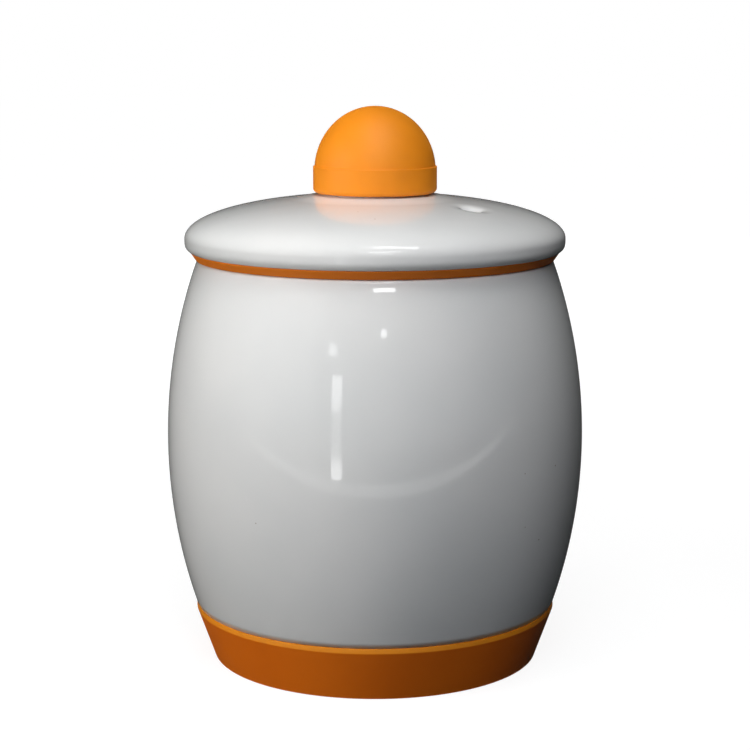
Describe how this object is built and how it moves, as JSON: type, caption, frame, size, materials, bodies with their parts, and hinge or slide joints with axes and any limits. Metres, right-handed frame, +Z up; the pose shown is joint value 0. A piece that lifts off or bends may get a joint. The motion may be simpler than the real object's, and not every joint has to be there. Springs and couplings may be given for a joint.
{
  "type": "microwave egg cooker",
  "caption": "Barrel-shaped glazed ceramic egg cooker in a silicone boot, with a domed lift-off lid that has a steam vent, a silicone seal and a round silicone knob.",
  "frame": {"origin": "centre of the boot's base ring, on the table", "axes": "+Z up along the axis that every piece is turned about; -Y towards the viewer of the picture; the steam vent lies between +X and -Y"},
  "size_m": [0.102, 0.102, 0.1353],
  "materials": {
    "glaze": "gloss",
    "silicone": "matte"
  },
  "bodies": {
    "pot": {"pot": "glaze", "boot": "silicone"},
    "seal": {"lid_seal": "silicone"},
    "lid": {"lid": "glaze", "knob": "silicone"}
  },
  "joints": [
    {"name": "lid_lift", "type": "slide", "parent": "pot", "child": "seal", "axis": [0, 0, 1], "range_m": [0, 0.08]},
    {"name": "lid_turn", "type": "hinge", "parent": "seal", "child": "lid", "pos_m": [0, 0, 0.1007], "axis": [0, 0, 1], "continuous": true}
  ]
}
